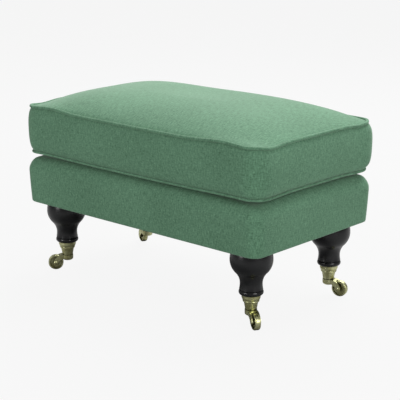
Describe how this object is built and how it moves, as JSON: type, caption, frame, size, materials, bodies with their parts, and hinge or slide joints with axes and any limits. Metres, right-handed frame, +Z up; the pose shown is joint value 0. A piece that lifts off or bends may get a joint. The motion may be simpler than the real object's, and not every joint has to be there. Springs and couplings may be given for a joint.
{
  "type": "upholstered footstool",
  "caption": "Rectangular upholstered footstool with a piped loose box cushion, turned black legs and brass cup castors",
  "frame": {"origin": "on the floor under the middle of the stool", "axes": "+X along the length to the right seen from the front, +Y to the back, +Z up"},
  "size_m": [0.721, 0.4226, 0.4465],
  "materials": {
    "hardwood": "planed, unfinished",
    "black_wood": "satin black, turned",
    "cover_cloth": "green linen-look plain weave",
    "dust_cloth": "black non-woven",
    "jute_webbing": "woven jute",
    "foam": "open-cell upholstery foam",
    "fibre_wadding": "soft fibre",
    "steel": "zinc plated",
    "antique_brass": "antiqued, semi-gloss",
    "zip_cloth": "green woven tape",
    "zip_metal": "antiqued"
  },
  "bodies": {
    "stool": {"front_rail": "hardwood", "back_rail": "hardwood", "left_rail": "hardwood", "right_rail": "hardwood", "centre_brace": "hardwood", "corner_block_front_left": "hardwood", "corner_block_front_right": "hardwood", "corner_block_back_left": "hardwood", "corner_block_back_right": "hardwood", "block_screws": "steel", "webbing_along": "jute_webbing", "webbing_across": "jute_webbing", "deck_pad": "foam", "base_wadding": "fibre_wadding", "base_cover": "cover_cloth", "bottom_cloth": "dust_cloth", "leg_bolts": "steel", "tee_nuts": "steel", "cup_screws": "antique_brass", "swivel_washers": "antique_brass", "leg_front_left": "black_wood", "leg_front_right": "black_wood", "leg_back_left": "black_wood", "leg_back_right": "black_wood", "castor_cup_front_left": "antique_brass", "castor_cup_front_right": "antique_brass", "castor_cup_back_left": "antique_brass", "castor_cup_back_right": "antique_brass", "swivel_pin_front_left": "antique_brass", "swivel_pin_front_right": "antique_brass", "swivel_pin_back_left": "antique_brass", "swivel_pin_back_right": "antique_brass"},
    "cushion": {"cushion_top_panel": "cover_cloth", "cushion_band": "cover_cloth", "cushion_bottom_panel": "cover_cloth", "piping_upper": "cover_cloth", "piping_lower": "cover_cloth", "cushion_wrap": "fibre_wadding", "cushion_core": "foam", "zip_tape": "zip_cloth", "zip_chain": "zip_metal"},
    "zip_runner": {"zip_slider": "zip_metal"},
    "zip_tab": {"zip_pull": "zip_metal"},
    "swivel_front_left": {"horn_front_left": "antique_brass", "axle_front_left": "antique_brass"},
    "roller_front_left": {"wheel_front_left": "antique_brass"},
    "swivel_front_right": {"horn_front_right": "antique_brass", "axle_front_right": "antique_brass"},
    "roller_front_right": {"wheel_front_right": "antique_brass"},
    "swivel_back_left": {"horn_back_left": "antique_brass", "axle_back_left": "antique_brass"},
    "roller_back_left": {"wheel_back_left": "antique_brass"},
    "swivel_back_right": {"horn_back_right": "antique_brass", "axle_back_right": "antique_brass"},
    "roller_back_right": {"wheel_back_right": "antique_brass"}
  },
  "joints": [
    {"name": "cushion_lift", "type": "slide", "parent": "stool", "child": "cushion", "axis": [0, 0, 1], "range_m": [0, 0.25]},
    {"name": "zip_slide", "type": "slide", "parent": "cushion", "child": "zip_runner", "axis": [1, 0, 0], "range_m": [0, 0.549]},
    {"name": "zip_tab_turn", "type": "hinge", "parent": "zip_runner", "child": "zip_tab", "pos_m": [-0.2745, 0.21037, 0.317], "axis": [0, 0, 1], "range_deg": [0, 170]},
    {"name": "swivel_turn_front_left", "type": "hinge", "parent": "stool", "child": "swivel_front_left", "pos_m": [-0.28744, -0.13744, 0.038], "axis": [0, 0, 1], "continuous": true},
    {"name": "wheel_turn_front_left", "type": "hinge", "parent": "swivel_front_left", "child": "roller_front_left", "pos_m": [-0.30724, -0.15794, 0.018], "axis": [0.7193, -0.6947, 0], "continuous": true},
    {"name": "swivel_turn_front_right", "type": "hinge", "parent": "stool", "child": "swivel_front_right", "pos_m": [0.28744, -0.13744, 0.038], "axis": [0, 0, 1], "continuous": true},
    {"name": "wheel_turn_front_right", "type": "hinge", "parent": "swivel_front_right", "child": "roller_front_right", "pos_m": [0.31212, -0.15169, 0.018], "axis": [0.5, 0.866, 0], "continuous": true},
    {"name": "swivel_turn_back_left", "type": "hinge", "parent": "stool", "child": "swivel_back_left", "pos_m": [-0.28744, 0.13744, 0.038], "axis": [0, 0, 1], "continuous": true},
    {"name": "wheel_turn_back_left", "type": "hinge", "parent": "swivel_back_left", "child": "roller_back_left", "pos_m": [-0.31367, 0.14858, 0.018], "axis": [-0.3907, -0.9205, 0], "continuous": true},
    {"name": "swivel_turn_back_right", "type": "hinge", "parent": "stool", "child": "swivel_back_right", "pos_m": [0.28744, 0.13744, 0.038], "axis": [0, 0, 1], "continuous": true},
    {"name": "wheel_turn_back_right", "type": "hinge", "parent": "swivel_back_right", "child": "roller_back_right", "pos_m": [0.31532, 0.14337, 0.018], "axis": [-0.2079, 0.9781, 0], "continuous": true}
  ]
}
